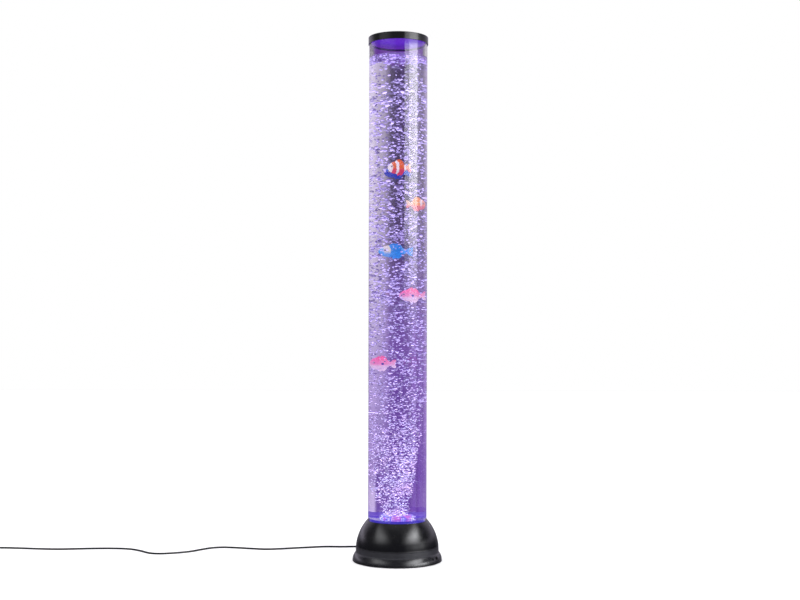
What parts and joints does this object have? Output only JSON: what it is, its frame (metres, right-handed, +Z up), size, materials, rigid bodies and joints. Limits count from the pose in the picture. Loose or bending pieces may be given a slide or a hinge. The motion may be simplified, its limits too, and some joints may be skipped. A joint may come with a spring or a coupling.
{
  "type": "bubble tube floor lamp",
  "caption": "Tall clear water-filled tube with bubbles and drifting model fish on a round black domed base with a lift-off cap, pump, lights and low-voltage cord.",
  "frame": {"origin": "centre of the base on the floor, under the tube's axis", "axes": "+Z up along the tube's axis, the front with the buttons is -Y, +X to the right seen from the front, the cord leaves at +Y and runs towards -X"},
  "size_m": [0.9558, 0.2275, 0.9838],
  "materials": {
    "clear_acrylic": "clear polished",
    "gloss_black": "high gloss",
    "satin_black": "fine spark texture",
    "black_button": "satin",
    "black_rubber": "matte",
    "white_nylon": "satin",
    "screw_steel": "zinc plated",
    "blade_brass": "nickel plated",
    "white_board": "white solder mask",
    "green_board": "green solder mask",
    "board_components": "matte",
    "red_lamp": "clear epoxy, lit",
    "green_lamp": "clear epoxy, lit",
    "blue_lamp": "clear epoxy, lit",
    "pump_grey": "satin",
    "copper_coil": "enamelled wire",
    "arm_steel": "stamped",
    "magnet_grey": "sintered",
    "silicone_hose": "translucent silicone",
    "jack_black": "matte",
    "lead_red": "vinyl",
    "lead_yellow": "vinyl",
    "lead_blue": "vinyl",
    "lead_orange": "vinyl",
    "cord_black": "satin vinyl",
    "tie_black": "satin",
    "fish_orange": "printed soft plastic",
    "fish_pale_orange": "printed soft plastic",
    "fish_blue": "printed soft plastic",
    "fish_royal_blue": "printed soft plastic",
    "fish_pink": "printed soft plastic"
  },
  "bodies": {
    "lamp": {"water_tube": "clear_acrylic", "tube_gasket": "black_rubber", "floor_disc": "clear_acrylic", "air_diffuser": "clear_acrylic", "air_nozzle": "white_nylon", "nozzle_nut": "white_nylon", "base_dome": "gloss_black", "base_plinth": "gloss_black", "bottom_plate": "satin_black", "base_screws": "screw_steel", "rubber_feet": "black_rubber", "led_board": "white_board", "red_leds": "red_lamp", "green_leds": "green_lamp", "blue_leds": "blue_lamp", "led_spacers": "white_nylon", "led_screws": "screw_steel", "pump_pads": "black_rubber", "pump_case": "pump_grey", "pump_lid": "pump_grey", "pump_core": "screw_steel", "pump_coil": "copper_coil", "pump_valve_block": "white_nylon", "pump_diaphragm": "black_rubber", "pump_pivot_pin": "screw_steel", "hose_upper": "silicone_hose", "check_valve": "white_nylon", "hose_lower": "silicone_hose", "control_board": "green_board", "board_parts": "board_components", "board_screws": "screw_steel", "switch_board": "green_board", "tact_switches": "board_components", "power_jack": "jack_black", "supply_leads": "lead_red", "led_leads": "lead_yellow", "pump_leads": "lead_blue", "switch_leads": "lead_orange", "power_plug": "cord_black", "cord_run": "cord_black", "cord_coil": "cord_black", "cord_tail": "cord_black", "coil_tie": "tie_black", "adaptor_case": "satin_black", "adaptor_lid": "satin_black", "adaptor_blades": "blade_brass", "adaptor_relief": "cord_black", "adaptor_transformer": "screw_steel"},
    "cap": {"top_cap": "gloss_black"},
    "power_button_body": {"power_button": "black_button"},
    "mode_button_body": {"mode_button": "black_button"},
    "pump_arm_body": {"pump_arm": "arm_steel", "pump_magnet": "magnet_grey"},
    "orange_fish_body": {"orange_fish": "fish_orange"},
    "pale_orange_fish_body": {"pale_orange_fish": "fish_pale_orange"},
    "blue_fish_body": {"blue_fish": "fish_blue"},
    "royal_blue_fish_body": {"royal_blue_fish": "fish_royal_blue"},
    "pink_fish_upper_body": {"pink_fish_upper": "fish_pink"},
    "pink_fish_lower_body": {"pink_fish_lower": "fish_pink"}
  },
  "joints": [
    {"name": "cap_lift", "type": "slide", "parent": "lamp", "child": "cap", "axis": [0, 0, 1], "range_m": [0, 0.1]},
    {"name": "power_button_press", "type": "slide", "parent": "lamp", "child": "power_button_body", "axis": [-0.891, 0.454, 0], "range_m": [0, 0.0008], "stiffness_N_per_m": 900, "springref_m": -0.0004},
    {"name": "mode_button_press", "type": "slide", "parent": "lamp", "child": "mode_button_body", "axis": [-0.7986, 0.6018, 0], "range_m": [0, 0.0008], "stiffness_N_per_m": 900, "springref_m": -0.0004},
    {"name": "pump_arm_swing", "type": "hinge", "parent": "lamp", "child": "pump_arm_body", "pos_m": [-0.057, 0, 0.0251], "axis": [0, 1, 0], "range_deg": [-1.2, 1.2], "stiffness_Nm_per_rad": 0.6, "deforming": ["pump_diaphragm"]},
    {"name": "orange_fish_drift", "type": "slide", "parent": "lamp", "child": "orange_fish_body", "axis": [0, 0, 1], "range_m": [-0.628, 0.192]},
    {"name": "pale_orange_fish_drift", "type": "slide", "parent": "lamp", "child": "pale_orange_fish_body", "axis": [0, 0, 1], "range_m": [-0.562, 0.258]},
    {"name": "blue_fish_drift", "type": "slide", "parent": "lamp", "child": "blue_fish_body", "axis": [0, 0, 1], "range_m": [-0.476, 0.344]},
    {"name": "royal_blue_fish_drift", "type": "slide", "parent": "lamp", "child": "royal_blue_fish_body", "axis": [0, 0, 1], "range_m": [-0.624, 0.196]},
    {"name": "pink_fish_upper_drift", "type": "slide", "parent": "lamp", "child": "pink_fish_upper_body", "axis": [0, 0, 1], "range_m": [-0.392, 0.428]},
    {"name": "pink_fish_lower_drift", "type": "slide", "parent": "lamp", "child": "pink_fish_lower_body", "axis": [0, 0, 1], "range_m": [-0.264, 0.556]}
  ]
}
